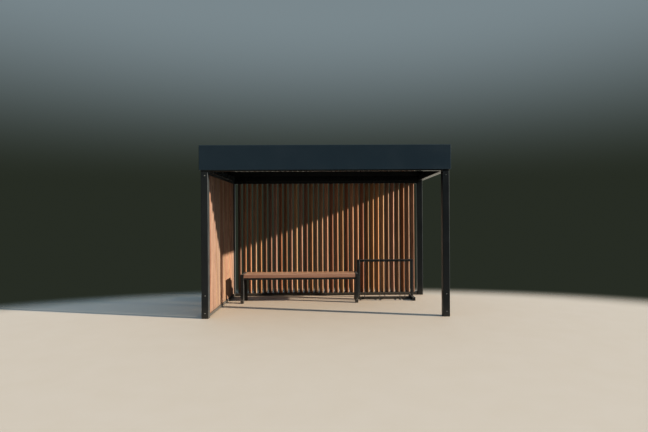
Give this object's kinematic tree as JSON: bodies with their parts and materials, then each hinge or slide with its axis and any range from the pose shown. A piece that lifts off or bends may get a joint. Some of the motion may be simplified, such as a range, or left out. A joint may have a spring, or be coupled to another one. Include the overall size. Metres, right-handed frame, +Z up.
{
  "type": "bus shelter",
  "caption": "Open steel-framed shelter with a flat roof behind a deep fascia, louvred timber walls on two sides, a timber bench and a bicycle rack.",
  "frame": {"origin": "on the ground, under the middle of the roof's outline", "axes": "+X along the shelter to its open right-hand side, +Y towards the back wall, +Z up; the open front faces -Y"},
  "size_m": [3.64, 2, 2.5],
  "materials": {
    "frame_steel": "anthracite powder coat, satin",
    "fascia_sheet": "anthracite powder coat, satin",
    "roof_sheet": "grey coated ribbed sheet",
    "wall_wood": "oiled reddish-brown timber, planed",
    "bench_steel": "anthracite powder coat, satin",
    "seat_wood": "oiled reddish-brown timber, planed",
    "rack_steel": "anthracite powder coat, satin",
    "tube_plug": "black polyethylene, matt"
  },
  "bodies": {
    "root": {"post_front_left": "frame_steel", "post_front_right": "frame_steel", "post_back_left": "frame_steel", "post_back_right": "frame_steel", "beam_front": "frame_steel", "beam_back": "frame_steel", "beam_left": "frame_steel", "beam_right": "frame_steel", "parapet_uprights": "frame_steel", "parapet_rails_long": "frame_steel", "parapet_rails_short": "frame_steel", "purlins": "frame_steel", "back_rail_bottom": "frame_steel", "back_rail_top": "frame_steel", "left_rail_bottom": "frame_steel", "left_rail_top": "frame_steel", "fascia_front": "fascia_sheet", "fascia_right": "fascia_sheet", "fascia_back": "fascia_sheet", "fascia_left": "fascia_sheet", "roof_deck": "roof_sheet", "roof_gutter": "roof_sheet", "back_slats": "wall_wood", "left_slats": "wall_wood", "bench_leg_front_left": "bench_steel", "bench_leg_rear_left": "bench_steel", "bench_leg_front_right": "bench_steel", "bench_leg_rear_right": "bench_steel", "bench_bearer_left": "bench_steel", "bench_bearer_right": "bench_steel", "bench_rails": "bench_steel", "bench_cross_bars": "bench_steel", "seat_board_1": "seat_wood", "seat_board_2": "seat_wood", "seat_board_3": "seat_wood", "seat_board_4": "seat_wood", "rack_post_left": "rack_steel", "rack_post_right": "rack_steel", "rack_top_rail": "rack_steel", "rack_bottom_rail": "rack_steel", "rack_foot": "rack_steel", "wheel_holder_left": "rack_steel", "wheel_holder_middle": "rack_steel", "wheel_holder_right": "rack_steel", "tube_plugs": "tube_plug"}
  },
  "joints": []
}
